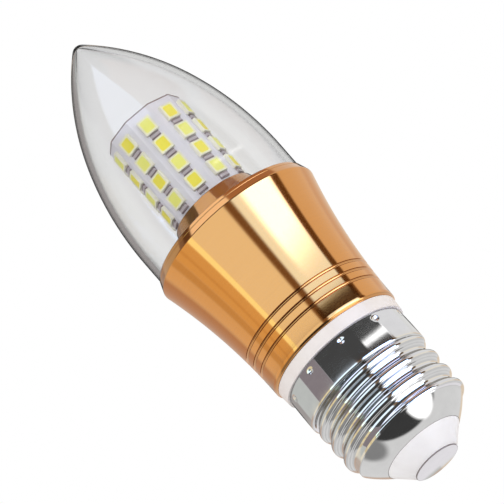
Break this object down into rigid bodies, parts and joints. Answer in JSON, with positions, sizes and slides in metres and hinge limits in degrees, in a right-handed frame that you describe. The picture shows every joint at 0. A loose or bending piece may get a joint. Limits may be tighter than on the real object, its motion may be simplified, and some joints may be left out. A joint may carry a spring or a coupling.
{
  "type": "led candle bulb",
  "caption": "Candle-shaped LED bulb with a clear pointed cover over an LED tower, a gold flared housing and a screw cap.",
  "frame": {"origin": "centre of the end contact's lower face", "axes": "+Z along the bulb's axis, from the screw cap to the tip of the cover; -Y faces the middle of the picture's view"},
  "size_m": [0.0356, 0.0356, 0.1078],
  "materials": {
    "nickel": "bright nickel plate on rolled sheet",
    "white_insulator": "smooth white moulding",
    "white_plastic": "smooth white moulding",
    "gold_aluminium": "turned and gold anodised, polished",
    "clear_plastic": "clear polished moulding",
    "white_board": "white solder resist on aluminium",
    "led_package": "white LED package",
    "cool_phosphor": "lemon phosphor resin",
    "warm_phosphor": "amber phosphor resin",
    "chip_body": "chip ceramic with tinned ends",
    "green_board": "green solder resist",
    "black_epoxy": "black moulded epoxy",
    "can_sleeve": "shrink sleeve",
    "ferrite": "sintered ferrite",
    "copper": "bare and enamelled copper",
    "resistor_coat": "lacquered resistor body",
    "black_wire": "wire insulation",
    "red_wire": "wire insulation"
  },
  "bodies": {
    "root": {"contact_pin": "nickel", "base_insulator": "white_insulator", "screw_shell": "nickel", "driver_cup": "white_plastic", "housing": "gold_aluminium", "tower_seat": "gold_aluminium", "clear_cover": "clear_plastic", "led_board": "white_board", "tower_lid": "white_board", "led_frames": "led_package", "cool_phosphors": "cool_phosphor", "warm_phosphors": "warm_phosphor", "chip_resistors": "chip_body", "driver_board": "green_board", "bridge_rectifier": "black_epoxy", "driver_chip": "black_epoxy", "diode": "black_epoxy", "input_capacitor": "can_sleeve", "output_capacitor": "can_sleeve", "choke_core": "ferrite", "choke_winding": "copper", "fuse_resistor": "resistor_coat", "shell_wire": "copper", "led_wire_negative": "black_wire", "led_wire_positive": "red_wire"}
  },
  "joints": []
}
